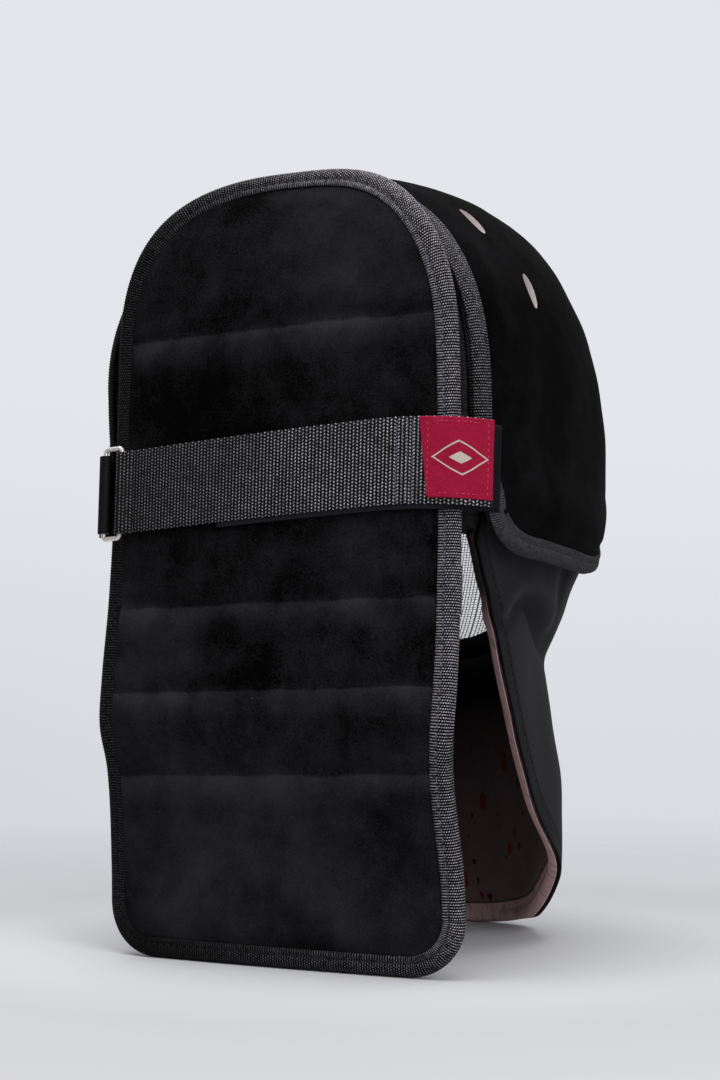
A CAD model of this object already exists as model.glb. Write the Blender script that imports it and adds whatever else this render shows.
import math

import bmesh
import bpy
import numpy as np
from mathutils import Matrix, Vector


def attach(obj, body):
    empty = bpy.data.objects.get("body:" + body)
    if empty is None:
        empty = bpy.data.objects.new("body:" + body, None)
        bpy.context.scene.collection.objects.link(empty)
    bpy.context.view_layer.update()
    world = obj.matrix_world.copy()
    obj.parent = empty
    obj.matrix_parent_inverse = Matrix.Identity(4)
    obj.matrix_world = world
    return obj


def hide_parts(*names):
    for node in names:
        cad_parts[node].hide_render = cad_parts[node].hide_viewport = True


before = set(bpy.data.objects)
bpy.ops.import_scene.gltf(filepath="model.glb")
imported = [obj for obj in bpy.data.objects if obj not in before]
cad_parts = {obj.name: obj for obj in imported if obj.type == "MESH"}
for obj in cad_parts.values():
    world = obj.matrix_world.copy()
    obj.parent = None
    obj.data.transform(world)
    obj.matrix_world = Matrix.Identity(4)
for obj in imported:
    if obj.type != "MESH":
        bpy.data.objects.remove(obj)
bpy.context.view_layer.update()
scene = bpy.context.scene
mm = 0.001  # sizes below are in millimetres, the mask's own frame in metres


# smooth tables: a key column, then the values that run smoothly between its rows
def cubicWeights(keys, place):
    place = np.clip(np.asarray(place, float), keys[0], keys[-1])
    last = len(keys) - 1
    i = np.clip(np.searchsorted(keys, place, side="right"), 1, last)
    start, end = keys[i - 1], keys[i]
    hasPrev, hasNext = i >= 2, i < last
    prev, following = np.where(hasPrev, i - 2, i), np.where(hasNext, i + 1, i - 1)
    half = (end - start) / 2
    weighPrev = half / (start - keys[prev])
    weighNext = half / (keys[following] - end)
    p = (place - start) / (end - start)
    shares = (
        -weighPrev * p**3 + 2 * weighPrev * p**2 - weighPrev * p,
        (1 + weighPrev) * p**3 + (-1.5 - 2 * weighPrev) * p**2 + (weighPrev - 0.5) * p + 1,
        (-1 - weighNext) * p**3 + (1.5 + weighNext) * p**2 + 0.5 * p,
        weighNext * p**3 - weighNext * p**2,
    )
    return (prev, i - 1, i, following), shares


def smoothTable(rows):
    rows = np.array(rows, float)
    keys, values = rows[:, 0], rows[:, 1:]

    def read(place):
        spots, shares = cubicWeights(keys, place)
        found = sum(values[s] * w[..., None] for s, w in zip(spots, shares))
        return found[..., 0] if values.shape[1] == 1 else np.moveaxis(found, -1, 0)

    return read


def unit(v):
    return v / np.maximum(np.linalg.norm(v, axis=-1, keepdims=True), 1e-9)


def mix(a, b, share):
    return a + (b - a) * share


def rise(value, start, end):  # 0 up to start, 1 from end, round between
    return np.sin(np.clip((value - start) / (end - start), 0, 1) * math.pi / 2)


def bell(value, centre, reach):
    return np.exp(-(((value - centre) / reach) ** 2))


def ripple(x, y, size, seed):  # slow uneven swell, about -1 to 1
    total = 0
    for k in range(5):
        turn = seed * 1.7 + k * 2.4
        ax, ay = math.cos(turn) / size, math.sin(turn) / size
        total = total + np.sin(6.283 * (x * ax + y * ay) * (0.6 + 0.27 * k) + seed * (k + 1.3))
    return total / 3


planeY = 117.95  # y of the plane of the flap's side edges


def at(side, fwd, up):  # side: wearer's right, fwd: from the flap's plane to the face
    side, fwd, up = np.broadcast_arrays(side, fwd, up)
    return np.stack([-side, planeY - fwd, up], axis=-1).astype(float)


# flat shapes, made with operators and then bent into place
def flatGrid(uSteps, vSteps, uSize=1.0, vSize=1.0, uStart=0.0, vStart=0.0):
    bm = bmesh.new()
    spot = Matrix.Translation((uStart, vStart, 0)) @ Matrix.Diagonal((uSize, vSize, 1, 1))
    spot = spot @ Matrix.Translation((0.5, 0.5, 0))
    bmesh.ops.create_grid(bm, x_segments=uSteps, y_segments=vSteps, size=0.5, matrix=spot)
    return bm


def padFlat(*sizes):
    bm = flatGrid(*sizes)
    made = bmesh.ops.extrude_face_region(bm, geom=bm.faces[:])
    raised = [v for v in made["geom"] if isinstance(v, bmesh.types.BMVert)]
    bmesh.ops.translate(bm, verts=raised, vec=(0, 0, 1))
    return bm


def mapFlat(bm, uScale=1.0, vScale=1.0, chart=None):  # the flat place becomes the piece's own map
    layer = bm.loops.layers.uv.new("flat")
    flat = np.array([v.co[:] for v in bm.verts])
    spots = np.stack(chart(*flat.T), axis=1) if chart else flat[:, :2] * (uScale, vScale)
    bm.verts.index_update()
    for face in bm.faces:
        for loop in face.loops:
            loop[layer].uv = spots[loop.vert.index]


def bend(bm, place):
    flat = np.array([v.co[:] for v in bm.verts])
    for vert, spot in zip(bm.verts, place(*flat.T) * mm):
        vert.co = spot


def toObject(bm, name):
    mesh = bpy.data.meshes.new(name)
    bm.to_mesh(mesh)
    bm.free()
    made = bpy.data.objects.new(name, mesh)
    scene.collection.objects.link(made)
    return made


def addPiece(bm, name, finish, nodes=()):
    bmesh.ops.recalc_face_normals(bm, faces=bm.faces[:])
    for face in bm.faces:
        face.smooth = True
    piece = toObject(bm, name)
    piece.data.materials.append(finish)
    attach(piece, "root")
    if nodes:
        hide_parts(*nodes)
    print(name, len(piece.data.polygons), "faces")
    return piece


def runLength(line):  # distance from the start at each point
    return np.concatenate([[0], np.cumsum(np.linalg.norm(np.diff(line, axis=0), axis=1))])


def readRows(stops, keys, rows):
    return np.stack([np.interp(stops, keys, column) for column in rows.T], axis=1)


def sweepRing(frames, section, lift=None):
    origin, out, over = frames
    columns, around = len(origin), len(section)
    step = np.linalg.norm(np.roll(origin, -1, 0) - origin, axis=1).mean()
    turns = np.linalg.norm(np.roll(section, -1, 0) - section, axis=1).mean()
    bm = flatGrid(columns, around, columns, around)
    mapFlat(bm, step, turns)

    def place(u, v, w):
        i = np.rint(u).astype(int) % columns
        k = np.rint(v).astype(int) % around
        x, y = section[k, 0], section[k, 1]
        if lift is not None:
            extra = lift(np.rint(u).astype(int), k)
            x, y = x + extra * section[k, 2], y + extra * section[k, 3]
        return origin[i] + out[i] * x[:, None] + over[i] * y[:, None]

    bend(bm, place)
    bmesh.ops.remove_doubles(bm, verts=bm.verts[:], dist=0.004 * mm)
    return bm


def addStitches(name, rows, finish, slotName, length, thick, sunk=0.3):
    bm = bmesh.new()
    for spots, ways, faces in rows:
        for spot, way, face in zip(spots, unit(ways), unit(faces)):
            across = np.cross(face, way)
            turn = Matrix([[*axis] for axis in zip(way * length / 2, across * thick / 2, face * thick / 2)])
            centre = (spot + face * thick * (0.5 - sunk)) * mm
            ball = Matrix.Translation(Vector(centre)) @ (turn * mm).to_4x4()
            bmesh.ops.create_icosphere(bm, subdivisions=1, radius=1, matrix=ball)
    return addPiece(bm, name, finish)


# shader maths: a wrapped socket, so that expressions add Math nodes
class Shade:
    def __init__(self, tree, socket=None):
        self.tree, self.socket = tree, socket

    def node(self, kind, settings=None, inputs=None, output=0):
        made = self.tree.nodes.new(kind)
        for name, value in (settings or {}).items():
            if name == "stops":
                ramp = made.color_ramp.elements
                while len(ramp) < len(value):
                    ramp.new(0.5)
                for element, (place, colour) in zip(ramp, value):
                    element.position, element.color = place, (*colour, 1)
            else:
                setattr(made, name, value)
        for name, value in (inputs or {}).items():
            if isinstance(value, Shade):
                self.tree.links.new(value.socket, made.inputs[name])
            else:
                made.inputs[name].default_value = value
        return Shade(self.tree, made.outputs[output])

    def math(self, operation, *others):
        return self.node("ShaderNodeMath", {"operation": operation}, dict(enumerate([self, *others])))

    def __add__(self, other):
        return self.math("ADD", other)

    def __sub__(self, other):
        return self.math("SUBTRACT", other)

    def __mul__(self, other):
        return self.math("MULTIPLY", other)

    def __truediv__(self, other):
        return self.math("DIVIDE", other)

    def __pow__(self, other):
        return self.math("POWER", other)

    def __rsub__(self, other):
        return self.node("ShaderNodeMath", {"operation": "SUBTRACT"}, {0: other, 1: self})

    __radd__, __rmul__ = __add__, __mul__

    def sin(self):
        return self.math("SINE")

    def swing(self):  # sine from 0 to 1
        return self.sin() * 0.5 + 0.5

    def clamp(self, low, high=1):
        return self.math("MAXIMUM", low).math("MINIMUM", high)

    def above(self, limit, soft=0.02):
        edges = {"Value": self, "From Min": limit - soft, "From Max": limit + soft}
        return self.node("ShaderNodeMapRange", {"interpolation_type": "SMOOTHSTEP"}, edges)

    def split(self):
        return [self.node("ShaderNodeSeparateXYZ", None, {0: self}, k) for k in range(3)]

    def place(self):
        return self.node("ShaderNodeTexCoord", output="Object")

    def flat(self):
        return self.node("ShaderNodeUVMap", {"uv_map": "flat"})

    def noise(self, where, scale, detail=3.0, rough=0.55):
        values = {"Vector": where, "Scale": scale, "Detail": detail, "Roughness": rough}
        return self.node("ShaderNodeTexNoise", None, values)

    def cells(self, where, scale):
        return self.node("ShaderNodeTexVoronoi", {"feature": "F1"}, {"Vector": where, "Scale": scale})

    def join(self, x, y, z=0.0):
        return self.node("ShaderNodeCombineXYZ", None, {0: x, 1: y, 2: z})

    def vector(self, operation, first, second, output=0):
        return self.node("ShaderNodeVectorMath", {"operation": operation}, {0: first, 1: second}, output)

    def blend(self, share, first, second):
        values = {"Factor": share, 6: first, 7: second}
        return self.node("ShaderNodeMix", {"data_type": "RGBA"}, values, 2)

    def bump(self, height, strength, distance):
        values = {"Height": height, "Strength": strength, "Distance": distance}
        return self.node("ShaderNodeBump", None, values)


def newFinish(name):
    material = bpy.data.materials.new(name)
    material.use_nodes = True
    tree = material.node_tree
    return material, Shade(tree), tree.nodes["Principled BSDF"]


def setShader(shader, values):
    for name, value in values.items():
        if isinstance(value, Shade):
            value.tree.links.new(value.socket, shader.inputs[name])
        else:
            shader.inputs[name].default_value = value


fullTurn = 6.2832  # radians, for the waves in the weaves


def grey(level, tint=(1.0, 0.97, 1.08)):
    return (level * tint[0], level * tint[1], level * tint[2], 1)


def suedeFinish(name, dark, pale, cloud, cutShare=None, creases=()):
    material, s, shader = newFinish(name)
    place = s.place()
    clouds = s.noise(place, cloud, 5, 0.6)
    x, _, z = place.split()
    nap = s.noise(place, 900, 4, 0.7)
    rubbed = s.noise(place, 42, 6, 0.65)
    share = (clouds * 2.0 + rubbed * 0.9 + nap * 1.1 - 1.8).math("MAXIMUM", 0)
    for height, _, reach in creases:  # nap brushed pale just under each sewn crease
        under = ((height - 1.5) * mm - z - x * 0.03 + rubbed * 0.004 - 0.002) / (reach * 2.6 * mm)
        band = under.above(0.03, 0.05) * (1 - under).math("MAXIMUM", 0)
        share = share + band * (clouds * 1.5 + rubbed * 0.8 - 0.75).math("MAXIMUM", 0)
    if creases:  # paler towards the foot
        share = share + (1 - z.above(0.085, 0.06)) * clouds * 0.35
    dust = (1 - s.cells(place, 95).above(0.035, 0.02)) * s.noise(place, 31, 2).above(0.62, 0.03)
    colour = s.blend(share.math("MINIMUM", 1), grey(dark), grey(pale))
    colour = s.blend(dust * 0.5, colour, grey(0.12))
    if cutShare is not None:  # pale padding where the suede is cut
        felt = s.blend(rubbed, (0.55, 0.48, 0.47, 1), (0.8, 0.72, 0.72, 1))
        colour = s.blend(cutShare(s, place), colour, felt)
    setShader(shader, {
        "Base Color": colour,
        "Roughness": 0.8 + nap * 0.2,
        "Specular IOR Level": 0.015,
        "Sheen Weight": 0.004,
        "Sheen Roughness": 0.5,
        "Normal": s.bump(nap + rubbed * 0.6, 0.35, 0.0006),
    })
    return material


def tapeFinish(name, dark, pale, ribPitch, dotPitch, brushed=None):
    material, s, shader = newFinish(name)
    along, across, _ = s.flat().split()
    rib = (along * (fullTurn / ribPitch) + fullTurn / 4).swing()
    thread = (across * (fullTurn / dotPitch) + along * (fullTurn / 2 / ribPitch)).swing()
    x, _, z = s.place().split()
    worn = s.noise(s.place(), 420, 5, 0.75)
    lit = (rib**2.8) * (0.08 + (thread**2.2) * 0.92) * (worn * 4.1 - 1.25).math("MAXIMUM", 0.03)
    rubbed = (x * -5.0 + 0.5).clamp(0.1) * (z.above(0.016, 0.012) * 0.65 + 0.35)
    lit = (lit * rubbed).math("MINIMUM", 1)
    colour = s.blend(lit, grey(dark), grey(pale, (1.0, 0.95, 1.03)))
    if brushed is not None:  # worn soft and pale below a height
        soft = (1 - z.above(brushed, 0.015)) * (worn * 2.2 - 0.5).math("MAXIMUM", 0.1)
        colour = s.blend(soft * 0.7, colour, grey(0.085))
    setShader(shader, {
        "Base Color": colour,
        "Roughness": 0.62 + worn * 0.2,
        "Specular IOR Level": 0.07,
        "Normal": s.bump(rib * 0.7 + thread * 0.4, 0.5, 0.0003),
    })
    return material


def webbingFinish(name, dark, pale, columnPitch, dotPitch):
    material, s, shader = newFinish(name)
    along, across, _ = s.flat().split()
    column = (along * (fullTurn / columnPitch)).swing()
    shifted = across + (along * (fullTurn / 2 / columnPitch)).sin() * (dotPitch * 0.25)
    dot = (shifted * (fullTurn / dotPitch)).swing()
    patchy = s.noise(s.place(), 260, 4, 0.75)
    slow = s.noise(s.place(), 22, 2, 0.5)
    rubbed = (s.place().split()[0] * -3.4 + 0.66).clamp(0.3)
    lit = (column**2.4) * (dot**1.8) * (patchy * 2.6 - 0.55).math("MAXIMUM", 0.05) * (slow + 0.45) * rubbed
    setShader(shader, {
        "Base Color": s.blend(lit.math("MINIMUM", 1), grey(dark), grey(pale, (1.0, 0.95, 1.02))),
        "Roughness": 0.5 + patchy * 0.25,
        "Specular IOR Level": 0.15,
        "Normal": s.bump(column + dot * 0.6, 0.4, 0.0003),
    })
    return material


def clothFinish(name, dark, pale):
    material, s, shader = newFinish(name)
    place = s.place()
    knit = s.noise(place, 1300, 2, 0.5)
    soft = s.noise(place, 26, 4, 0.55)
    fold = s.flat().split()[1]  # 0 on the open cloth, 1 deep in a fold
    cool = (0.98, 0.97, 1.1)
    colour = s.blend(soft * 0.8 + knit * 0.3, grey(dark, cool), grey(pale, cool))
    setShader(shader, {
        "Base Color": s.blend(fold, colour, grey(0.0012)),
        "Roughness": 0.72 + knit * 0.2,
        "Specular IOR Level": 0.09,
        "Sheen Weight": 0.02,
        "Sheen Roughness": 0.5,
        "Normal": s.bump(knit + soft * 0.4, 0.25, 0.0004),
    })
    return material


liningBand = 12.5  # width of the facing along the bib's hem


def liningFinish(name):
    material, s, shader = newFinish(name)
    flat = s.flat()
    along, fromHem, _ = flat.split()
    deep = s.node("ShaderNodeMapRange", None, {"Value": fromHem, "From Min": 14.0, "From Max": 120.0})
    wobble = s.noise(flat, 0.16, 3, 0.6)
    warped = s.vector("ADD", flat, s.join(wobble * 9 + 31, wobble * -7))
    which = s.noise(flat, 0.05, 1, 0.4)
    red = (1 - s.cells(warped, 0.048).above(0.24, 0.03)) * which.above(0.53, 0.02)
    black = (1 - s.cells(warped, 0.085).above(0.2, 0.03)) * (1 - which.above(0.47, 0.02))
    weave = s.noise(s.place(), 1100, 2, 0.5)
    ground = s.blend(s.noise(s.place(), 34, 4, 0.6), (0.4, 0.245, 0.255, 1), (0.58, 0.39, 0.4, 1))
    pastBand = fromHem.above(liningBand, 1.0)
    gathers = s.noise(s.join(along * 0.3, fromHem * 0.07), 1.0, 4, 0.6)
    gathers = gathers.math("MAXIMUM", pastBand * 0.5)  # only along the hem
    ground = s.blend((1 - gathers.above(0.43, 0.07)) * 0.55, ground, (0.12, 0.06, 0.065, 1))
    printed = s.blend(red, ground, (0.62, 0.012, 0.018, 1))
    printed = s.blend(black * 0.92, printed, (0.018, 0.014, 0.016, 1))
    seam = fromHem.math("COMPARE", liningBand, 0.7)
    printed = s.blend(seam * 0.8, printed, (0.02, 0.014, 0.016, 1))
    ends = along.math("ABSOLUTE").above(312, 8) * 0.95  # soiled dark at the ears
    shaded = (0.76 * pastBand + deep * 0.24).math("MAXIMUM", ends)
    setShader(shader, {
        "Base Color": s.blend(shaded, printed, (0.003, 0.002, 0.002, 1)),
        "Roughness": 0.66 + weave * 0.2,
        "Specular IOR Level": 0.1,
        "Sheen Weight": 0.02,
        "Normal": s.bump(weave * 0.2 + gathers * 1.6, 0.6, 0.0011),
    })
    return material


def hookFinish(name):
    material, s, shader = newFinish(name)
    loops = s.noise(s.place(), 1500, 3, 0.7)
    past = (s.place().split()[0] * -1).above(0.1, 0.008)  # duller past the label
    bluish = (0.92, 0.95, 1.25)
    colour = s.blend(loops, grey(0.006, bluish), grey(0.024, bluish))
    setShader(shader, {
        "Base Color": s.blend(past * 0.8, colour, grey(0.001)),
        "Roughness": 0.5 + loops * 0.3,
        "Specular IOR Level": 0.14,
        "Normal": s.bump(loops, 0.3, 0.0003),
    })
    return material


def labelFinish(name, size):
    material, s, shader = newFinish(name)
    along, across, _ = s.flat().split()
    warp = (along * (fullTurn / 0.55)).sin() * (across * (fullTurn / 0.5)).sin()
    fleck = s.noise(s.place(), 700, 4, 0.7)
    acrossMid = (along - size["length"] / 2).math("ABSOLUTE")
    upMid = (across - size["height"] / 2).math("ABSOLUTE")
    lozenge = acrossMid * 0.62 + upMid
    outline = (lozenge - size["lozenge"]).math("ABSOLUTE")
    drawn = (1 - outline.above(0.42, 0.12)) + (1 - lozenge.above(size["lozenge"] * 0.36, 0.12))
    ground = s.blend(fleck * 1.1 + warp * 0.2 - 0.08, (0.2, 0.002, 0.019, 1), (0.54, 0.01, 0.064, 1))
    pale = s.blend(fleck, (0.42, 0.36, 0.3, 1), (0.8, 0.74, 0.64, 1))
    setShader(shader, {
        "Base Color": s.blend(drawn.math("MINIMUM", 1), ground, pale),
        "Roughness": 0.6 + fleck * 0.25,
        "Specular IOR Level": 0.12,
        "Sheen Weight": 0.03,
        "Normal": s.bump(warp * 0.5 + fleck, 0.35, 0.0003),
    })
    return material


def steelFinish(name, base, rough, metal=1.0):
    material, s, shader = newFinish(name)
    spots = s.noise(s.place(), 320, 4, 0.6)
    setShader(shader, {
        "Base Color": s.blend(spots, tuple(c * 0.82 for c in base[:3]) + (1,), base),
        "Metallic": metal,
        "Roughness": rough + spots * 0.16,
        "Normal": s.bump(spots, 0.08, 0.0002),
    })
    return material


def threadFinish(name, dark, pale, soiled=False):
    material, s, shader = newFinish(name)
    fuzz = s.noise(s.place(), 2200, 3, 0.6)
    colour = s.blend(fuzz, dark, pale)
    if soiled:  # dull on the wearer's left and near the floor
        x, _, z = s.place().split()
        fresh = (x * -9.0 + 0.5).clamp(0) * z.above(0.05, 0.03)
        colour = s.blend(fresh, grey(0.006), colour)
    setShader(shader, {
        "Base Color": colour,
        "Roughness": 0.55 + fuzz * 0.2,
        "Specular IOR Level": 0.35,
        "Normal": s.bump(fuzz, 0.3, 0.0002),
    })
    return material


shellAround = 690  # length of the basket's map round the head


def wovenShellFinish(name, pitch, trimWide):
    material, s, shader = newFinish(name)
    along, across, _ = s.flat().split()
    first = (along * (fullTurn / 2 / pitch)).sin().math("ABSOLUTE")
    second = (across * (fullTurn / 2 / pitch)).sin().math("ABSOLUTE")
    wires = first.above(0.88, 0.06).math("MAXIMUM", second.above(0.88, 0.06))
    crown, earToCrown = shellAround / 2, 206
    onArch = 1 - (along - crown).math("ABSOLUTE").above(earToCrown, 6)  # wider round the back of the head
    trim = 1 - across.above(trimWide + onArch * 9, 0.3)
    spots = s.noise(s.place(), 320, 4, 0.6)
    steel = s.blend(spots, (0.3, 0.29, 0.3, 1), (0.42, 0.41, 0.42, 1))
    setShader(shader, {
        "Base Color": s.blend(trim, steel, grey(0.006)),
        "Metallic": 0.9 * (1 - trim),
        "Roughness": 0.4 + spots * 0.15 + trim * 0.4,
        "Alpha": wires.math("MAXIMUM", trim),
        "Normal": s.bump(first + second, 0.6, 0.0008),
    })
    return material


finishes = {
    "panelTape": tapeFinish("panelTape", 0.001, 0.9, 1.45, 1.2),
    "overlayTape": tapeFinish("overlayTape", 0.0015, 0.46, 1.45, 1.2, 0.25),
    "webbing": webbingFinish("webbing", 0.001, 1.0, 2.05, 1.75),
    "tabWebbing": webbingFinish("tabWebbing", 0.003, 0.03, 2.05, 1.75),
    "bibCloth": clothFinish("bibCloth", 0.006, 0.025),
    "bibLining": liningFinish("bibLining"),
    "hookTape": hookFinish("hookTape"),
    "wire": steelFinish("wire", (0.9, 0.89, 0.91, 1), 0.42, 0.2),
    "ring": steelFinish("ring", (0.95, 0.9, 0.87, 1), 0.28, 0.6),
    "wovenShell": wovenShellFinish("wovenShell", 1.8, 14),
    "paleThread": threadFinish("paleThread", (0.09, 0.09, 0.12, 1), (0.27, 0.27, 0.34, 1), True),
    "darkThread": threadFinish("darkThread", (0.012, 0.012, 0.015, 1), (0.05, 0.05, 0.058, 1)),
    "redThread": threadFinish("redThread", (0.42, 0.02, 0.06, 1), (0.72, 0.1, 0.16, 1)),
}
print("finishes made", len(finishes))


# steel basket: sections from the nose back, as fwd, half width, top, middle and low
basket = {
    "sections": [
        (0.00, 262.0, 0, 268, 268, 268),
        (0.08, 259.5, 25, 300, 268, 238),
        (0.18, 250.0, 50, 334, 269, 206),
        (0.30, 230.0, 72, 367, 272, 172),
        (0.42, 200.0, 89, 394, 276, 151),
        (0.56, 160.0, 101, 408, 280, 140),
        (0.72, 110.0, 107, 413.5, 286, 130),
        (0.88, 60.0, 108, 411, 292, 112),
        (1.00, 22.0, 105.5, 404, 299, 101),
        (1.04, 10.0, 104.5, 401, 301, 99),
        (1.08, -2.0, 103.3, 398, 303, 97),
    ],
    "upperRound": 2.3, "lowerRound": 2.4,
    "rim": [  # along by angle, under the ears and over them
        (-90, 0.335), (-62, 0.282), (-32, 0.346), (-26.5, 0.432), (-23, 0.55), (-20.3, 0.78),
        (-17.3, 1.028),
    ],
    "arch": [(-17.3, 1.028), (-6, 1.047), (5, 1.053), (30, 1.04), (60, 1.002), (90, 0.989)],
    "corner": -17.3,
}
basketAt = smoothTable(basket["sections"])
rimTable, archTable = smoothTable(basket["rim"]), smoothTable(basket["arch"])


def rimAt(angle):
    folded = np.where(angle > 90, 180 - angle, angle)
    folded = np.where(folded < -90, -180 - folded, folded)
    return np.where(folded < basket["corner"], rimTable(folded), archTable(folded))


def basketPoint(along, angle):
    fwd, half, top, middle, low = basketAt(along)
    across, up = np.cos(np.radians(angle)), np.sin(np.radians(angle))
    power = 2 / np.where(up > 0, basket["upperRound"], basket["lowerRound"])
    height = np.where(up > 0, top - middle, middle - low)
    side = half * np.sign(across) * np.abs(across) ** power
    return at(side, fwd, middle + height * np.sign(up) * np.abs(up) ** power)


def basketNormal(along, angle):
    near, step, turn = np.maximum(along, 0.03), 0.006, 1.2
    back = basketPoint(near + step, angle) - basketPoint(near - step, angle)
    around = basketPoint(near, angle + turn) - basketPoint(near, angle - turn)
    normal = unit(np.cross(around, back))
    fwd, _, _, middle, _ = basketAt(near)
    outward = basketPoint(near, angle) - at(0 * fwd, fwd, middle)
    normal = normal * np.where((normal * outward).sum(-1) < 0, -1, 1)[..., None]
    share = np.clip(along / 0.03, 0, 1)[..., None]
    return unit(mix(np.array([0, -1.0, 0]), normal, share))


def basketOffset(along, angle, offset):
    return basketPoint(along, angle) + basketNormal(along, angle) * np.asarray(offset)[..., None]


# woven wires of the face, laid out flat from the nose
wires = {
    "pitch": 1.8, "thick": 0.56, "wave": 0.28, "inset": 0.9,
    "reach": 0.362, "halfWide": 288, "halfTall": 352,
}


def addWires():
    pitch, reach = wires["pitch"], wires["reach"]
    halfWide, halfTall = reach * wires["halfWide"], reach * wires["halfTall"]
    bm = bmesh.new()
    for way, (longHalf, wideHalf) in enumerate(((halfWide, halfTall), (halfTall, halfWide))):
        count = int(wideHalf / pitch)
        for k in range(-count, count + 1):
            chord = longHalf * math.sqrt(max(0, 1 - (k * pitch / wideHalf) ** 2))
            steps = int(chord / pitch)
            if steps < 2:
                continue
            lay = Matrix.Translation((0, k * pitch, way)) @ Matrix.Rotation(math.pi / 2, 4, "Y")
            made = bmesh.ops.create_cone(bm, cap_ends=True, segments=4, radius1=0.1, radius2=0.1,
                                         depth=2 * steps * pitch, matrix=lay)
            sides = {e for v in made["verts"] for e in v.link_edges}
            long = [e for e in sides if abs(e.verts[0].co.x - e.verts[1].co.x) > 1]
            bmesh.ops.subdivide_edges(bm, edges=long, cuts=2 * steps - 1)

    def spread(x, y, z):
        way = np.rint(z).astype(int)
        row = np.rint(y / pitch).astype(int)
        ring = np.arctan2(z - way, y - row * pitch)
        crossing = np.rint(x / pitch).astype(int)
        lift = np.where((row + crossing + way) % 2 == 0, 1, -1) * wires["wave"]
        flatX = np.where(way == 0, x, row * pitch)
        flatY = np.where(way == 0, row * pitch, x)
        sideways = np.cos(ring) * wires["thick"] / 2
        flatX = (flatX + np.where(way == 1, sideways, 0)) / wires["halfWide"]
        flatY = (flatY + np.where(way == 0, sideways, 0)) / wires["halfTall"]
        lift = lift + np.sin(ring) * wires["thick"] / 2 - wires["inset"]
        return np.hypot(flatX, flatY), np.degrees(np.arctan2(flatY, flatX)), lift

    along, angle, _ = spread(*np.array([v.co[:] for v in bm.verts]).T)
    past = [v for v, out in zip(bm.verts, along > rimAt(angle)) if out]  # wires end at the basket's rim
    bmesh.ops.delete(bm, geom=past, context="VERTS")
    bmesh.ops.holes_fill(bm, edges=[e for e in bm.edges if e.is_boundary], sides=4)
    bend(bm, lambda x, y, z: basketOffset(*spread(x, y, z)))
    return addPiece(bm, "faceWires", finishes["wire"], ["steel_mesh"])


shell = {"from": 0.352, "wall": 1.2, "rows": 60, "columns": 160, "trim": 14, "trimWall": 10}


def addBasketShell():
    bm = padFlat(shell["columns"], shell["rows"])

    def flatPlace(u, v):
        angle = -90 + 360 * u
        rim = rimAt(np.where(angle > 90, 180 - angle, angle))
        along = mix(np.minimum(shell["from"], rim - 0.006), rim, gather(v, 0.5))
        return angle, along, (rim - along) * overlay["alongLength"]

    def chart(u, v, w):
        return u * shellAround, flatPlace(u, v)[2]

    def place(u, v, w):
        angle, along, toRim = flatPlace(u, v)
        bead = np.sqrt(np.clip(1 - (toRim / shell["trim"]) ** 2, 0, 1)) * np.clip(toRim / 3, 0.3, 1)
        folded = np.where(angle > 90, 180 - angle, angle)
        padded = 1 + 0.8 * bell(folded, basket["corner"] + 2, 9)  # thicker beside the ears
        return basketOffset(along, angle, -0.4 - (shell["wall"] + shell["trimWall"] * bead * padded) * w)

    mapFlat(bm, chart=chart)
    bend(bm, place)
    bmesh.ops.remove_doubles(bm, verts=bm.verts[:], dist=0.01 * mm)
    return addPiece(bm, "basketShell", finishes["wovenShell"])


# padded suede overlay over crown and sides
overlay = {
    "face": 0.325, "thick": 10.6, "edgeThick": 4.9, "edgeFlat": 8.0, "edgeReach": 24,
    "innerGap": 1.3, "edgeGap": 2.8, "lowGap": 8.0, "lowReach": 34, "lowSoft": 0.4,
    "frontTuck": 3.0, "shoulderFlat": 5.6,  # the padding is flatter towards the face
    "cornerAlong": 0.064, "rearCorner": 0.155, "cornerShare": 0.046, "archLength": 470, "alongLength": 310,
    "lowEdge": [(0.325, -21.0), (0.42, -23.4), (0.56, -24.2), (0.72, -22.6), (0.88, -20.0), (1.02, -19.9)],
    "vents": [(108, 75, 355), (85, 55, 392)], "ventWidth": 9, "ventHeight": 18.5, "ventDeep": 44,
    "swell": 0.55, "steps": (190, 84),
}
overlayLowAt = smoothTable(overlay["lowEdge"])


def ventCut(s, place):
    x, y, z = place.split()
    folded = s.join(x.math("ABSOLUTE"), y, z)
    cut = None
    for turn in ventPlaces():
        apart = s.vector("SUBTRACT", folded, turn.to_translation())
        reach = []
        for axis, size in ((0, overlay["ventHeight"]), (1, overlay["ventWidth"])):
            part = s.vector("DOT_PRODUCT", apart, turn.col[axis].to_3d(), 1)
            reach.append((part / (size / 2 * mm)) ** 2)
        near = 1 - (reach[0] + reach[1]).above(1.06, 0.03)
        cut = near if cut is None else cut.math("MAXIMUM", near)
    return cut


def ventPlaces():  # on the +X side: over the head, along it, and outward
    for side, fwd, up in overlay["vents"]:
        spot = Vector(at(-side, fwd, up) * mm)
        outward = Vector((spot.x, spot.y * 0.2, spot.z - 0.273)).normalized()
        over = Vector((0, 1, 0)).cross(outward).normalized()
        turn = Matrix((over, outward.cross(over), outward)).transposed().to_4x4()
        yield Matrix.Translation(spot) @ turn


def gather(u, share):  # denser steps at both ends
    return u - share * np.sin(2 * math.pi * u) / (2 * math.pi)


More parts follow.
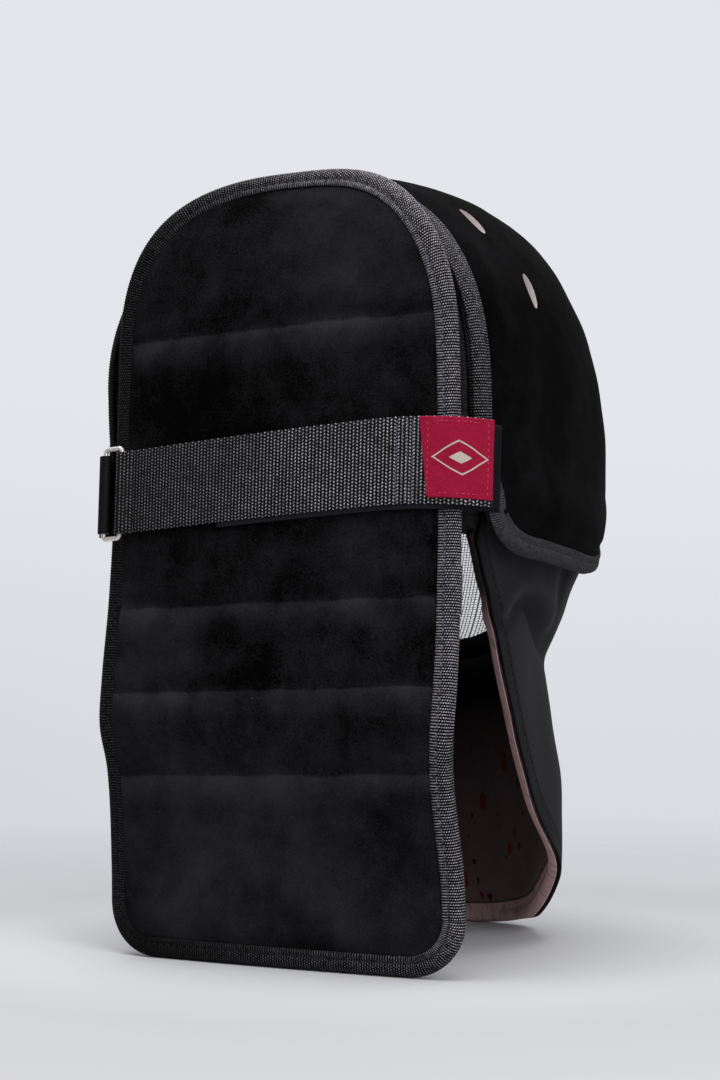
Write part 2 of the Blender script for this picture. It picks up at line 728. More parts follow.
def overlayPlace(u, v):
    end = np.minimum(u, 1 - u)
    corner = np.clip(1 - end / overlay["cornerShare"], 0, 1)
    cut = 1 - np.sqrt(1 - corner**2)
    lowMiddle = overlayLowAt(0.6)
    guess = mix(lowMiddle, 180 - lowMiddle, u)
    rear = rimAt(np.maximum(np.where(guess > 90, 180 - guess, guess), basket["corner"]))
    along = mix(overlay["face"] + overlay["cornerAlong"] * cut, rear - overlay["rearCorner"] * cut, v)
    low = overlayLowAt(along)
    return along, mix(low, 180 - low, u), end, rear


def overlayPoint(u, v, w):
    along, angle, end, rear = overlayPlace(u, v)
    fromLow = end * overlay["archLength"]
    fromFace = (along - overlay["face"]) * overlay["alongLength"]
    fromRear = (rear - along) * overlay["alongLength"]
    lowPuff = fromLow * (1 - overlay["lowSoft"] * bell(along, 0.38, 0.14))
    fromEdge = np.minimum(np.minimum(lowPuff, fromFace), fromRear)
    puff = rise(fromEdge, overlay["edgeFlat"], overlay["edgeReach"])
    lift = np.clip(1.8 * (1 - fromLow / overlay["lowReach"]), 0, 1)
    lowGap = overlay["lowGap"] - overlay["frontTuck"] * bell(along, 0.36, 0.12)
    inner = mix(mix(overlay["edgeGap"], overlay["innerGap"], puff), lowGap, lift)
    shoulder = bell(along, 0.4, 0.13) * bell(np.abs(angle - 90), 54, 27)
    thick = mix(overlay["edgeThick"], overlay["thick"] - overlay["shoulderFlat"] * shoulder, puff)
    arc, length = angle * 1.9, along * overlay["alongLength"]
    swell = ripple(arc, length, 74, 2) * overlay["swell"] + ripple(arc, length, 31, 5) * 0.22
    drawn = bell(fromRear, 17, 9) * np.sin(angle * 0.34 + along * 9) * 0.55  # puckers along the rear tape
    return basketOffset(along, angle, inner + (thick + (swell + drawn) * puff) * w)


def addOverlay():
    finishes["overlaySuede"] = suedeFinish("overlaySuede", 0.0015, 0.012, 8, ventCut)
    bm = padFlat(*overlay["steps"])
    mapFlat(bm, 500, 210)
    bend(bm, lambda u, v, w: overlayPoint(gather(u, 0.6), gather(v, 0.5), w))
    piece = addPiece(bm, "overlayPad", finishes["overlaySuede"], ["overlay"])
    cut = bmesh.new()
    oval = Matrix.Diagonal([overlay[k] * mm for k in ("ventHeight", "ventWidth", "ventDeep")] + [1])
    for turn in ventPlaces():
        bmesh.ops.create_cone(cut, cap_ends=True, segments=40, radius1=0.5, radius2=0.5, depth=1,
                              matrix=turn @ oval)
    bmesh.ops.mirror(cut, geom=cut.verts[:] + cut.edges[:] + cut.faces[:], axis="X")
    bmesh.ops.recalc_face_normals(cut, faces=cut.faces[:])
    drill = toObject(cut, "ventDrill")
    holes = piece.modifiers.new("vents", "BOOLEAN")
    holes.operation, holes.object, holes.solver = "DIFFERENCE", drill, "EXACT"
    bpy.context.view_layer.update()
    shaped = piece.evaluated_get(bpy.context.evaluated_depsgraph_get())
    piece.data = bpy.data.meshes.new_from_object(shaped)
    piece.modifiers.clear()
    bpy.data.objects.remove(drill)
    piece.data.materials.clear()
    piece.data.materials.append(finishes["overlaySuede"])
    return piece


# flap over the back of the head: setback, half width and bulge by height
panel = {
    "profile": [
        (0, -1.0, 105.2, 4), (14, -1.0, 105.2, 4), (50, -2.2, 104.5, 5), (103, -10.0, 102.2, 6),
        (125, -14.0, 104.2, 6), (147, -11.5, 104.8, 7), (192, -5.5, 104.0, 8), (262, -1.0, 102.4, 8),
        (335, 1.5, 100.4, 8), (380, 8.5, 99.0, 6), (420, 20.5, 98.0, 3),
    ],
    "creases": [(103, 2.6, 7), (147, 2.4, 6), (192, 3.4, 7), (335, 3.0, 8)],  # height, depth, reach
    "bottom": 2.5, "shoulder": 322, "top": 416, "cornerRadius": 28,
    "headRound": 2.8, "headFlat": 2.35, "headLean": 1.25, "steps": (110, 230),
    "thick": 12.7, "edgeThick": 5.4, "edgeFlat": 7.6, "edgeReach": 19, "swell": 0.5,
    "drawIn": 2.4, "drawReach": 22,  # the left edge is drawn in a little
    "tapeJoin": (107, -4, 208),
}
panelAt = smoothTable(panel["profile"])


def headReach(up):  # how far the half-round head reaches to the sides at a height
    over = np.clip((up - panel["shoulder"]) / (panel["top"] - panel["shoulder"]), 0, 1)
    return (1 - over ** panel["headFlat"]) ** (1 / panel["headRound"])


def panelSheet(spread, up):
    setback, half, bulge = panelAt(up)
    fromLeft = np.maximum(0, headReach(up) - spread) * half
    left = np.clip(spread * 2.2, 0, 1)
    near = np.clip(1 - fromLeft / panel["drawReach"], 0, 1)
    drawn = panel["drawIn"] * near**2 * left**2 * (3 - 2 * left)
    upright = np.maximum(0, setback) * panel["headLean"] * spread**2  # only the middle leans over the crown
    return at(drawn - spread * half, setback - upright - bulge * (1 - spread**2), up)


def panelPlace(u, v):
    spread = np.sin((u - 0.5) * math.pi)
    half = panelAt(panel["shoulder"])[1]
    radius = panel["cornerRadius"]
    past = np.clip(np.abs(spread) * half - (half - radius), 0, radius)
    foot = panel["bottom"] + radius - np.sqrt(radius**2 - past**2)
    head = np.clip(1 - np.abs(spread) ** panel["headRound"], 0, 1) ** (1 / panel["headFlat"])
    head = panel["shoulder"] + (panel["top"] - panel["shoulder"]) * head
    return spread, mix(foot, head, v), foot, head


def creaseLine(x, height):
    return 1.6 * np.sin(x * 0.031 + height) + 0.8 * np.sin(x * 0.083 + height * 2) - x * 0.03


def panelPoint(u, v, w):
    spread, up, foot, head = panelPlace(u, v)
    half = panelAt(up)[1]
    across = np.maximum(0, headReach(up) - np.abs(spread)) * half
    along = np.maximum(0, np.minimum(head - up, up - foot))
    inset = across * along / (np.hypot(across, along) + 1e-6)
    puff = rise(inset, panel["edgeFlat"], panel["edgeReach"])
    x = spread * half
    depth = 0
    for height, deep, wide in panel["creases"]:
        line = height + creaseLine(x, height)
        fade = 0.6 + 0.4 * np.sin(x * 0.02 + height * 0.7)
        depth = depth + deep * bell(up, line, wide * 0.55)
        depth = depth - deep * fade * 0.5 * bell(up, line - wide * 1.4, wide)
    swell = ripple(x, up, 88, 3) * panel["swell"] + ripple(x, up, 36, 7) * 0.18
    thick = mix(panel["edgeThick"], panel["thick"] + swell - depth, puff)
    acrossWay = panelSheet(spread + 0.01, up) - panelSheet(spread - 0.01, up)
    upWay = panelSheet(spread, up + 1) - panelSheet(spread, up - 1)
    backward = unit(np.cross(upWay, acrossWay))
    return panelSheet(spread, up) + backward * (thick * (w - 0.5))[..., None]


def addPanel():
    finishes["panelSuede"] = suedeFinish("panelSuede", 0.001, 0.028, 9, creases=panel["creases"])
    bm = padFlat(*panel["steps"])
    mapFlat(bm, 214, 416)
    bend(bm, lambda u, v, w: panelPoint(u, gather(v, 0.55), w))
    piece = addPiece(bm, "flapPad", finishes["panelSuede"], ["back_panel"])
    return piece


# binding tape folded over an edge, ribbed across its run
tape = {
    "lap": 8.6, "groove": 5.2, "roll": 2.1, "wall": 1.1, "play": 0.5, "rib": 0.2, "pitch": 1.45,
    "joinColumns": 34, "joinLift": 0.75, "stitchPitch": 4.2, "stitch": (3.1, 0.95),
}


def closedWalk(count):
    side = np.linspace(0, 1, count, endpoint=False)
    one, zero = np.ones(count), np.zeros(count)
    u = np.concatenate([side, one, 1 - side, zero])
    v = np.concatenate([zero, side, one, 1 - side])
    return u, v


def edgeFrames(sheet, spacing):
    u, v = closedWalk(900)
    edge = sheet(u, v, np.full(len(u), 0.5))
    face = unit(sheet(u, v, np.ones(len(u))) - sheet(u, v, np.zeros(len(u))))
    inside = sheet(0.5 + (u - 0.5) * 0.9, 0.5 + (v - 0.5) * 0.9, np.full(len(u), 0.5))
    far = runLength(np.vstack([edge, edge[:1]]))
    count = 2 * round(far[-1] / spacing / 2)
    stops = np.arange(count) * far[-1] / count
    origin, over, inner = [readRows(stops, far, np.vstack([k, k[:1]])) for k in (edge, face, inside)]
    over = unit(sum(np.roll(over, k, 0) for k in range(-9, 10)))
    run = unit(sum(np.roll(origin, -k, 0) - np.roll(origin, k, 0) for k in range(1, 5)))
    over = unit(over - run * (over * run).sum(1)[:, None])
    out = np.cross(run, over)
    out = out * np.where((out * (origin - inner)).sum(1) < 0, -1, 1)[:, None]
    return origin, out, over


def tapeSection(edgeThick):
    inside = edgeThick / 2 + tape["play"]
    top = inside + tape["wall"]
    lap, groove, roll = tape["lap"], tape["groove"], tape["roll"]
    half = [  # out, over, and which way a rib lifts there
        (-lap, inside, 0, 0), (-lap - 0.1, top - 0.35, 0, 0.5), (-lap + 0.6, top + 0.05, 0, 1),
        (-lap + 1.7, top + 0.25, 0, 1), (-groove - 0.8, top + 0.1, 0, 1), (-groove, top - 1.0, 0, 0.1),
        (-groove + 0.8, top + 0.2, 0, 1), (-1.9, top + 0.4, 0, 1), (0.1, top - 0.1, 0.3, 0.9),
        (1.4, top - 1.4, 0.7, 0.6), (roll + 0.05, inside - 2.2, 1, 0.2), (roll + 0.15, 0.9, 1, 0),
    ]
    inner = [(0.45, inside - 0.4, 0, 0), (-3, inside, 0, 0)]
    flip = [(x, -y, a, -b) for x, y, a, b in reversed(half)]
    flipInner = [(x, -y, a, b) for x, y, a, b in reversed(inner)]
    return np.array(half + flip + flipInner + inner, float)


def addBinding(name, sheet, edgeThick, finish, node, join=None):
    frames = edgeFrames(sheet, tape["pitch"] / 2)
    origin = frames[0]
    section = tapeSection(edgeThick)
    doubled = np.zeros(len(origin))
    if join is not None:  # where the tape's end laps over its start
        start = int(np.argmin(np.linalg.norm(origin - join, axis=1)))
        doubled[np.arange(start, start + tape["joinColumns"]) % len(origin)] = tape["joinLift"]

    def lift(column, k):
        rib = np.where(column % 2 == 0, 1, -1) * tape["rib"]
        return rib + doubled[column % len(origin)]

    addPiece(sweepRing(frames, section, lift), name, finish, [node])
    return frames


def tapeStitches(name, frames, edgeThick, finish, slotName):
    origin, out, over = frames
    picks = np.arange(0, len(origin), round(tape["stitchPitch"] / (tape["pitch"] / 2)))
    run = np.roll(origin, -1, 0) - origin
    height = edgeThick / 2 + tape["play"] + tape["wall"] - 0.8
    rows = []
    for hand in (1, -1):
        spots = origin - out * tape["groove"] + over * height * hand
        rows.append((spots[picks], run[picks], over[picks] * hand))
    return addStitches(name, rows, finish, slotName, *tape["stitch"])


# bib: each fall line from the chin round to the ear, as top on the basket, jaw, throat, flare and hem
bib = {
    "falls": [
        (0.300, -90, (0, 229, 157), (0, 209, 136), (0, 223, 62), (0, 228, 0)),
        (0.245, -62, (38, 228, 172), (38, 205, 141), (39, 218, 64), (40, 222, 4)),
        (0.320, -32, (71, 203, 184), (66, 184, 148), (70, 194, 74), (67, 191, 14.5)),
        (0.490, -21, (95, 156, 199), (88, 143, 157), (92, 152, 94), (92, 156, 45)),
        (0.720, -18, (102, 99, 211), (99, 93, 186), (99, 97, 138), (98, 101, 92)),
        (0.990, -15.5, (105.5, 26, 235), (105, 24.5, 230.5), (104.5, 23, 226), (104, 21, 221)),
    ],
    "shellWall": 2.4, "liningWall": 4.2, "topGap": 2.4, "liningGap": 1.0,
    "roll": 4.0, "seam": 7.6, "liningFrom": 0.36, "steps": (150, 70), "liningSteps": (150, 64),
    "stitches": 260, "stitch": (2.6, 0.7),
}


def bibGuides():
    wide = len(bib["falls"]) - 1
    rows = []
    for i in range(-wide, wide + 1):
        along, angle, *points = bib["falls"][abs(i)]
        top = basketOffset(np.array(along), np.array(angle), bib["topGap"] + bib["shellWall"])
        spots = [(abs(top[0]), planeY - top[1], top[2]), *points]
        hand = (i > 0) - (i < 0)
        rows.append([i / wide, *[n for side, fwd, up in spots for n in (side * hand, fwd, up)]])
    return rows


bibAt = smoothTable(bibGuides())
bibLevels = np.linspace(0, 1, 5)


def bibFace(place, v):
    columns = bibAt(place)
    spots, shares = cubicWeights(bibLevels, v)
    n = np.arange(len(place))
    found = [sum(columns[s * 3 + k, n] * w for s, w in zip(spots, shares)) for k in range(3)]
    return at(*found)


def archLine(side):  # how far down its falls the bib is folded across
    return 0.455 + 18 * np.maximum(0, side - 0.775) ** 2


def secondLine(side):
    return archLine(side) + 0.03 + 0.16 * np.maximum(0, side - 0.6)


def chinLine(v):
    return 0.7 - 0.22 * v


def bibFolds(place, v, point):
    side = np.abs(place)
    reach = bell(side, 0.74, 0.17)
    arch = (3.4 * bell(v, archLine(side) - 0.09, 0.06) - 5.2 * bell(v, archLine(side), 0.035)) * reach
    second = -3.2 * bell(v, secondLine(side), 0.022) * bell(side, 0.7, 0.1)
    chin = -2.4 * bell(side, chinLine(v), 0.03) * bell(v, 0.25, 0.2)
    hang = 0.9 * np.sin(place * 21 + v * 2.5) * bell(v, 0.72, 0.2) * bell(side, 0.55, 0.3)
    uneven = ripple(place * 190, point[:, 2], 60, 4) * 0.5 * np.clip(v * 4, 0, 1)
    return arch + second + chin + hang + uneven


def bibPoint(place, v, depth):
    step = 0.01
    near, edge = np.clip(v, step, 1 - step), np.clip(place, step - 1, 1 - step)
    across = bibFace(edge + step, near) - bibFace(edge - step, near)
    down = bibFace(edge, near + step) - bibFace(edge, near - step)
    inward = unit(np.cross(across, down))
    point = bibFace(place, v)
    centre = at(0 * place, 110, point[:, 2])
    inward = inward * np.where((inward * (centre - point)).sum(1) < 0, -1, 1)[:, None]
    fade = np.clip(v * 6, 0, 1)
    return point + inward * (depth - bibFolds(place, v, point) * fade)[:, None]


def hemDistance(place, v):
    step = 0.01
    edge = np.clip(place, step - 1, 1 - step)
    one = np.ones(len(place))
    run = unit(bibFace(edge + step, one) - bibFace(edge - step, one))
    down = (bibFace(edge, one) - bibFace(edge, one - step)) / step
    return (1 - v) * np.linalg.norm(np.cross(down, run), axis=1)


def bibPlace(u, v, start=0.0):  # from ear to ear, and down the falls with denser rows at the hem
    return 2 * gather(u, 0.3) - 1, mix(start, 1.0, 1 - (1 - v) ** 1.6)


def foldShade(place, v):
    side = np.abs(place)
    past = chinLine(v) - side
    arch = 0.85 * bell(v, archLine(side) + 0.02, 0.03) * bell(side, 0.74, 0.15)
    second = 0.75 * bell(v, secondLine(side) + 0.012, 0.02) * bell(side, 0.7, 0.1)
    chin = 0.7 * rise(past, 0, 0.04) * (1 - rise(past, 0.1, 0.3)) * (1 - rise(v, 0.25, 0.55))
    edge = 0.55 * (1 - rise(hemDistance(place, v), 9, 12.5))
    return np.clip(arch + second + chin + edge, 0, 0.9)


def addBibShell():
    bm = padFlat(*bib["steps"])

    def chart(u, v, w):
        across, fall = bibPlace(u, v)
        return across * 310, np.maximum(foldShade(across, fall), 0.9 * w)  # the inside is black

    def place(u, v, w):
        across, fall = bibPlace(u, v)
        away = hemDistance(across, fall)
        hem = 0.7 * bell(away, bib["seam"], 1.0) * (1 - w)  # sewn line inside the edge
        thick = bib["shellWall"] * (0.55 + 0.45 * rise(away, 0, 2.5))
        spot = bibPoint(across, fall, hem + thick * w)
        spot[:, 2] = np.maximum(spot[:, 2], 0.2)
        return spot

    mapFlat(bm, chart=chart)
    bend(bm, place)
    piece = addPiece(bm, "bibOuter", finishes["bibCloth"], ["bib_shell"])
    return piece


def addBibLining():
    bm = padFlat(*bib["liningSteps"])

    def chart(u, v, w):
        across, fall = bibPlace(u, v, bib["liningFrom"])
        return across * 330, hemDistance(across, fall)

    def place(u, v, w):
        across, fall = bibPlace(u, v, bib["liningFrom"])
        away = hemDistance(across, fall)
        roll = np.sqrt(np.clip(1 - (away / bib["roll"] - 1) ** 2, 0, 1)) * (away < 2 * bib["roll"])
        body = rise(away, bib["seam"], bib["seam"] + 9)
        thick = bib["liningWall"] * np.maximum(np.maximum(roll, body), 0.22)
        gap = bib["liningGap"] * rise(away, 0, 3)
        spot = bibPoint(across, fall, bib["shellWall"] + 0.25 + gap + thick * w)
        spot[:, 2] = np.maximum(spot[:, 2], 0.4)
        return spot

    mapFlat(bm, chart=chart)
    bend(bm, place)
    piece = addPiece(bm, "bibInner", finishes["bibLining"], ["bib_lining"])
    return piece


def addBibStitches():
    one = np.ones(bib["stitches"])
    place = np.linspace(-0.965, 0.965, bib["stitches"])
    fall = 1 - bib["seam"] / np.maximum(hemDistance(place, 0 * one), 30)
    outer = bibPoint(place, fall, 0.35 * one)
    rows = [(outer, np.gradient(outer, axis=0), outer - bibPoint(place, fall, 1.35 * one))]
    return addStitches("bibStitches", rows, finishes["darkThread"], "bib_cloth", *bib["stitch"])


# strap, drawn in plan on the seat line of the flap's back
strap = {
    "width": 44, "wall": 1.5, "up": 256.4, "rise": 0.067, "lean": 0.058, "droop": 0.00145, "droopFrom": 60,
    "seat": [
        (-87, -10.6), (-70, -12.8), (-40, -15.3), (0, -16.5), (40, -15.3), (70, -12.8),
        (88, -10.5), (97, -8.7), (106, -6.2), (112.4, -0.5), (118.4, 5.6), (121, 9.6),
    ],
    "tapeWall": 1.1, "tapeDrop": 2.5, "tapeFrom": 0.21, "gap": 0.35,
    "columnPitch": 2.05, "dotPitch": 1.75, "relief": 0.42, "rows": 50,
    "foldSeam": -5.7, "endSeams": (75.2, 78.0, 80.8, 83.6, 86.4), "stitch": (1.7, 0.5),
}
ring = {"wire": 2.6, "inner": 46, "strapBar": (-92, -13.4), "tabBar": (-102.8, -12.9), "corner": 2}
tab = {"width": 42, "wall": 1.4, "path": [(-106.4, -6.3), (-112.9, 2.4), (-117.9, 10), (-119.4, 20)]}
label = {
    "from": 0.538, "to": 0.88, "wall": 0.7, "height": 40.6, "lift": 1.4, "lozenge": 8.4,
    "skew": (4.8, 2.1), "stitch": (2.0, 0.55), "sewnInset": 1.5, "sewnPitch": 3.1,
    "under": strap["tapeWall"] + strap["wall"] + 2.4 * strap["gap"],
}


def planCurve(points, share):
    points = np.array(points, float)
    last = len(points) - 1
    spot = np.clip(np.asarray(share, float), 0, 1) * last
    i = np.minimum(spot.astype(int), last - 1)
    t = (spot - i)[:, None]
    p0, p1 = points[np.maximum(i - 1, 0)], points[i]
    p2, p3 = points[i + 1], points[np.minimum(i + 2, last)]
    p0 = np.where((i == 0)[:, None], p1, p0)
    p3 = np.where((i == last - 1)[:, None], p2, p3)
    v0, v1 = (p2 - p0) / 2, (p3 - p1) / 2
    return (2 * p1 - 2 * p2 + v0 + v1) * t**3 + (-3 * p1 + 3 * p2 - 2 * v0 - v1) * t**2 + v0 * t + p1


def outwardOf(line):
    run = unit(np.gradient(line, axis=0))
    return np.stack([run[:, 1], -run[:, 0]], axis=1)


def offsetLine(line, offset):
    return line + outwardOf(line) * offset


def evenLine(line, spacing):
    far = runLength(line)
    stops = np.linspace(0, far[-1], max(4, round(far[-1] / spacing)) + 1)
    return readRows(stops, far, line), far[-1]


def loopRound(centre, radius, start, sweep):
    angle = np.radians(start + sweep * np.linspace(0, 1, 30))
    return np.array(centre) + radius * np.stack([np.cos(angle), np.sin(angle)], axis=1)


def slant(side, fwd, height):
    spot = at(side, fwd, strap["up"] + height)
    spot[..., 1] -= strap["lean"] * height
    past = np.maximum(0, side - strap["droopFrom"])
    spot[..., 2] += strap["rise"] * side - strap["droop"] * past**2
    return spot


def stripPiece(line, width, inner, outer, spacing, rows, relief=None, drop=0.0, skew=(0, 0)):
    line, length = evenLine(line, spacing)
    off = outwardOf(line)
    steps = len(line) - 1
    marks = np.arange(steps + 1)
    bm = padFlat(steps, rows, steps, 1)
    mapFlat(bm, length / steps, width)

    def place(u, v, w):
        lift = mix(inner, outer, w)
        if relief is not None:
            lift = lift + relief(u * length / steps, v * width, w)
        stop = u + mix(*skew, u / steps) * (1 - v) * steps / length  # the lower edge may lie further along
        plan = readRows(stop, marks, line) + readRows(stop, marks, off) * lift[:, None]
        return slant(plan[:, 0], plan[:, 1], (v - 0.5) * width - drop)

    bend(bm, place)
    return bm


def seatPart(start, end, count=200):
    return planCurve(strap["seat"], np.linspace(start, end, count))


def weave(along, across, w):
    column = np.abs(np.sin(math.pi * along / strap["columnPitch"]))
    odd = np.floor(along / strap["columnPitch"]) % 2
    dot = np.cos(2 * math.pi * (across / strap["dotPitch"] + odd * 0.5))
    height = strap["relief"] * (column**0.8) * (0.7 + 0.3 * dot)
    selvedge = np.minimum(across, strap["width"] - across)
    return np.where(w > 0.5, 1, -1) * (height * np.clip(selvedge, 0.25, 1) - strap["relief"] * 0.5)


def addStrap():
    layer = strap["tapeWall"] + strap["gap"]
    bar = ring["wire"] / 2 + strap["gap"] + strap["wall"] / 2
    inside = offsetLine(seatPart(strap["tapeFrom"] - 0.02, 0.0, 60), -strap["wall"] / 2)
    around = loopRound(ring["strapBar"], bar, 80, 180)
    outside = offsetLine(seatPart(0.03, label["to"] + 0.024), layer + strap["wall"] / 2)
    line = np.concatenate([inside, around, outside])
    half = strap["wall"] / 2
    bm = stripPiece(line, strap["width"], -half, half, strap["columnPitch"] / 4, strap["rows"], weave)
    return addPiece(bm, "strapWeb", finishes["webbing"], ["strap"])


def addStrapTape():
    line = seatPart(strap["tapeFrom"], 1.0)
    bm = stripPiece(line, strap["width"], 0.0, strap["tapeWall"], 1.5, 16, drop=strap["tapeDrop"])
    return addPiece(bm, "hookStrip", finishes["hookTape"], ["strap_tape"])


def addLabel():
    line = seatPart(label["from"], label["to"] + 0.02)
    inner, outer = label["under"], label["under"] + label["wall"]

    def crimp(along, across, w):
        edge = np.minimum(across, label["height"] - across)
        creased = 0.22 * np.sin(along * 0.5 + across * 0.3) * bell(edge, 0, 5)
        return creased + 0.15 * np.sin(along * 0.21 + across * 0.17)

    bm = stripPiece(line, label["height"], inner, outer, 0.8, 52, crimp, -label["lift"], label["skew"])
    piece = addPiece(bm, "labelPatch", finishes["label"], ["strap_label"])
    label["length"] * mm
    label["height"] * mm
    return piece


def strapRow(share, offset, inset, pitch, width, lift=0.0):
    count = int((width - 2 * inset) / pitch)
    height = (np.arange(count) + 0.5) * pitch + inset - width / 2 + lift
    line = planCurve(strap["seat"], np.array([share - 0.002, share, share + 0.002]))
    run = unit(line[2] - line[0])
    off = np.array([run[1], -run[0]])
    plan = line[1] + off * offset
    spots = slant(np.full(count, plan[0]), np.full(count, plan[1]), height)
    ways = slant(np.full(count, plan[0]), np.full(count, plan[1]), height + 1) - spots
    faces = np.repeat([[-off[0], -off[1], 0.0]], count, axis=0)
    return spots, ways, faces


def shareAtSide(side):
    share = np.linspace(0, 1, 2000)
    return share[np.argmin(np.abs(planCurve(strap["seat"], share)[:, 0] - side))]


def addStrapStitches():
    top = strap["tapeWall"] + strap["gap"] + strap["wall"] + strap["relief"] * 0.3
    rows = [strapRow(shareAtSide(strap["foldSeam"]), top - 0.15, 1, 2.6, strap["width"])]
    for side in strap["endSeams"]:
        rows.append(strapRow(shareAtSide(side), top + 0.1, 0.6, 1.9, strap["width"]))
    addStitches("strapStitches", rows, finishes["paleThread"], "strap_webbing", *strap["stitch"])
    face = label["under"] + label["wall"]
    sewn = (face, label["sewnInset"], label["sewnPitch"], label["height"], label["lift"])
    edges = [strapRow(share, *sewn) for share in (label["from"] + 0.036, label["to"] - 0.01)]
    share = np.linspace(label["from"] + 0.035, label["to"] - 0.035, 12)
    plan = offsetLine(planCurve(strap["seat"], share), face)
    for height in (-label["height"] / 2 + 2.4, label["height"] / 2 - 2.2):
        spots = slant(plan[:, 0], plan[:, 1], np.full(12, height + label["lift"]))
        run = np.gradient(spots, axis=0)
        edges.append((spots, run, np.cross([0, 0, 1.0], run)))
    addStitches("labelStitches", edges, finishes["redThread"], "label", *label["stitch"])


def addRing():
    bars = [at(side, fwd, strap["up"]) for side, fwd in (ring["strapBar"], ring["tabBar"])]
    across = bars[1] - bars[0]
    halfWide, halfTall = np.linalg.norm(across) / 2, (ring["inner"] + ring["wire"]) / 2
    middle, across = (bars[0] + bars[1]) / 2, unit(across)
    up = np.array([0, 0, 1.0])
    origin, out = [], []
    for k, (x, z) in enumerate(((1, 1), (-1, 1), (-1, -1), (1, -1))):
        knee = middle + across * x * (halfWide - ring["corner"]) + up * z * (halfTall - ring["corner"])
        for i in range(9):
            turn = math.radians((k + i / 8) * 90)
            way = across * math.cos(turn) + up * math.sin(turn)
            origin.append(knee + way * ring["corner"])
            out.append(way)
    out = np.array(out)
    over = np.repeat([np.cross(across, up)], len(out), axis=0)
    angle = np.linspace(0, 2 * math.pi, 14, endpoint=False)
    section = np.stack([np.cos(angle), np.sin(angle)], axis=1) * ring["wire"] / 2
    spots = np.array(origin)
    height = spots[:, 2] - strap["up"]
    spots[:, 1] -= strap["lean"] * height
    spots[:, 2] -= strap["rise"] * spots[:, 0]
    bm = sweepRing((spots, out, over), section)
    return addPiece(bm, "wireRing", finishes["ring"], ["strap_ring"])


def addTab():
    path = planCurve(tab["path"], np.linspace(0, 1, 80))
    bar = ring["wire"] / 2 + 1.5 * strap["gap"] + tab["wall"] / 2
    around = loopRound(ring["tabBar"], bar, 25, -180)
    outer = offsetLine(path, -(tab["wall"] + strap["gap"]))
    line = np.concatenate([path[::-1], around, outer])
    bm = stripPiece(line, tab["width"], -tab["wall"] / 2, tab["wall"] / 2, 0.7, 40)
    return addPiece(bm, "tabWeb", finishes["tabWebbing"], ["ring_tab"])


label["length"] = evenLine(offsetLine(seatPart(label["from"], label["to"]), 3.9), 1)[1]
finishes["label"] = labelFinish("label", label)

addWires()
addBasketShell()
addOverlay()
addPanel()
flapEdge = addBinding(
    "flapTape", panelPoint, panel["edgeThick"], finishes["panelTape"],
    "panel_binding", at(*panel["tapeJoin"]))
tapeStitches("flapTapeStitches", flapEdge, panel["edgeThick"], finishes["paleThread"], "panel_tape")
overlayEdge = addBinding(
    "overlayTape", overlayPoint, overlay["edgeThick"], finishes["overlayTape"],
    "overlay_binding")
tapeStitches(
    "overlayTapeStitches", overlayEdge, overlay["edgeThick"], finishes["darkThread"], "overlay_tape")
addBibShell()
addBibLining()
addBibStitches()
addStrap()
addStrapTape()
addLabel()
addStrapStitches()
addRing()
addTab()
print("pieces made")


# camera: beside and behind the wearer's right shoulder, its focal length and horizon in pixels
view = {
    "azimuth": 30, "away": 1200, "height": 171,
    "focal": 2290, "horizon": (281, 640), "frame": (720, 1080), "sensor": 36,
}

# stage: pale floor that fades into the background, soft light from above and beside the camera
stage = {
    "back": (0.783, 0.79, 0.828, 1), "low": (0.7, 0.708, 0.752, 1),
    "wall": 2.7, "wallFoot": -0.6, "wallTall": 4,
    "floor": 0.7, "floorFar": 0.585, "paper": (1.0, 1.003, 1.03), "fadeFrom": 0.22, "fadeTo": 1.0,
    "sky": (0.24, 0.242, 0.255, 1),
}


def addFloor():
    bm = bmesh.new()
    bmesh.ops.create_circle(bm, cap_ends=True, segments=96, radius=stage["fadeTo"] + 0.1)
    floor = toObject(bm, "floor")
    material, s, shader = newFinish("floorPaper")
    x, y, _ = s.place().split()
    away = (x * x + y * y).math("SQRT")
    near, far = [grey(stage[name], stage["paper"]) for name in ("floor", "floorFar")]
    edges = {"Value": away, "From Min": stage["fadeFrom"], "From Max": stage["fadeTo"], "To Min": 1.0,
             "To Max": 0.0}
    setShader(shader, {
        "Base Color": s.blend(away.above(0.25, 0.06), near, far),
        "Roughness": 0.75,
        "Specular IOR Level": 0.15,
        "Alpha": s.node("ShaderNodeMapRange", {"interpolation_type": "SMOOTHSTEP"}, edges),
    })
    floor.data.materials.append(material)


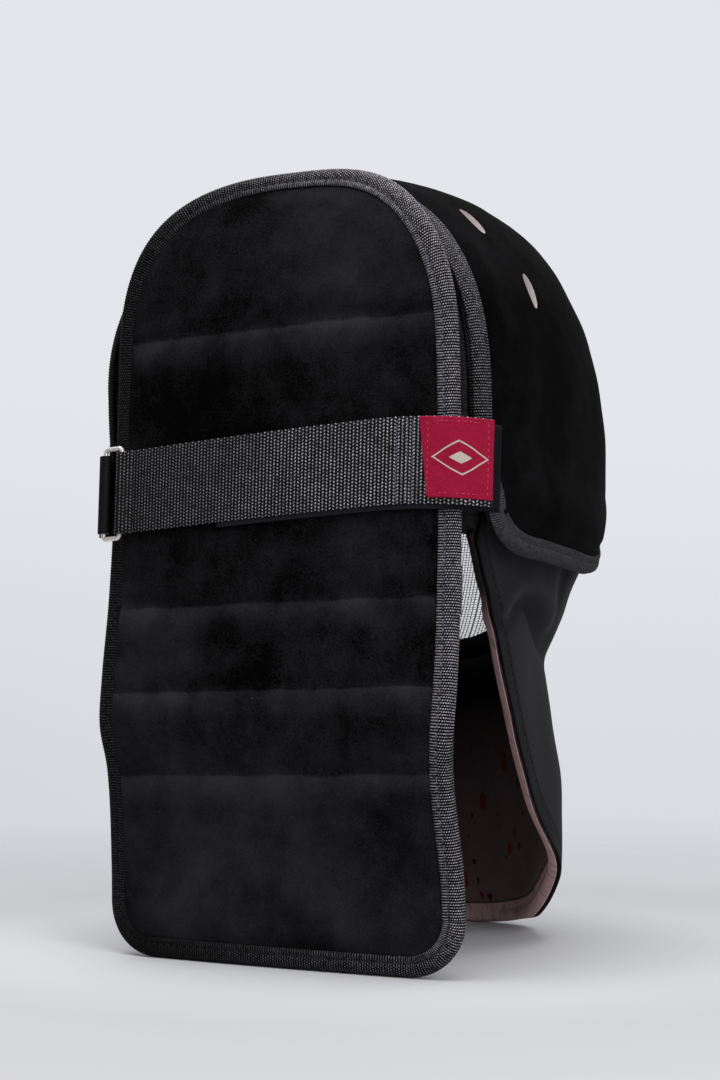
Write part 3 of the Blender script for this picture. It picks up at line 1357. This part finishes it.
def addBackdrop():
    bm = bmesh.new()
    turn = math.radians(view["azimuth"] - 75)
    foot = (math.sin(turn) * stage["wall"], -math.cos(turn) * stage["wall"], stage["wallFoot"])
    start = bm.verts.new(foot)
    bmesh.ops.spin(bm, geom=[start], cent=(0, 0, 0), axis=(0, 0, 1), angle=math.radians(150), steps=60)
    raised = bmesh.ops.extrude_edge_only(bm, edges=bm.edges[:])["geom"]
    raised = [v for v in raised if isinstance(v, bmesh.types.BMVert)]
    bmesh.ops.translate(bm, verts=raised, vec=(0, 0, stage["wallTall"]))
    backdrop = toObject(bm, "backdrop")
    material, s, shader = newFinish("backdropPaper")
    x, y, z = s.place().split()
    left = (x * 0.866 + y * 0.5).above(0.5, 0.7) * (1 - z.above(0.25, 0.7))
    low = s.blend(z.above(0.2, 0.42), stage["low"], stage["back"])
    setShader(shader, {
        "Base Color": (0, 0, 0, 1), "Specular IOR Level": 0.0, "Emission Strength": 1.0,
        "Emission Color": s.blend(left * 0.14, low, (0.3, 0.3, 0.33, 1)),
    })
    backdrop.data.materials.append(material)


def addLight(name, spot, aim, size, power):
    lamp = bpy.data.lights.new(name, "AREA")
    lamp.shape, lamp.size, lamp.size_y, lamp.energy = "RECTANGLE", size[0], size[1], power
    holder = bpy.data.objects.new(name, lamp)
    holder.location = spot
    holder.rotation_euler = (Vector(aim) - Vector(spot)).to_track_quat("-Z", "Y").to_euler()
    scene.collection.objects.link(holder)


addFloor()
addBackdrop()
world = bpy.data.worlds.new("studio")
world.use_nodes = True
world.node_tree.nodes["Background"].inputs["Color"].default_value = stage["sky"]
world.node_tree.nodes["Background"].inputs["Strength"].default_value = 1.0
scene.world = world
scene.view_settings.view_transform = "Standard"
addLight("overhead", (0.0, 0.35, 1.7), (0, 0, 0.2), (1.6, 1.6), 26)
addLight("besideCamera", (-1.5, 1.1, 1.0), (0, 0, 0.25), (0.9, 1.1), 14)

camera = bpy.data.cameras.new("camera")
holder = bpy.data.objects.new("camera", camera)
turn = math.radians(view["azimuth"])
aside, behind = view["away"] * math.sin(turn), view["away"] * math.cos(turn)
holder.location = Vector(at(aside, -behind, view["height"])) * mm
holder.rotation_euler = Vector((math.sin(turn), -math.cos(turn), 0)).to_track_quat("-Z", "Y").to_euler()
wide, tall = view["frame"]
camera.sensor_width = view["sensor"]
camera.lens = view["focal"] / tall * view["sensor"]
camera.shift_x = (wide / 2 - view["horizon"][0]) / tall
camera.shift_y = (view["horizon"][1] - tall / 2) / tall
camera.clip_start, camera.clip_end = 0.02, 30
scene.collection.objects.link(holder)
scene.camera = holder
print("stage and camera set")
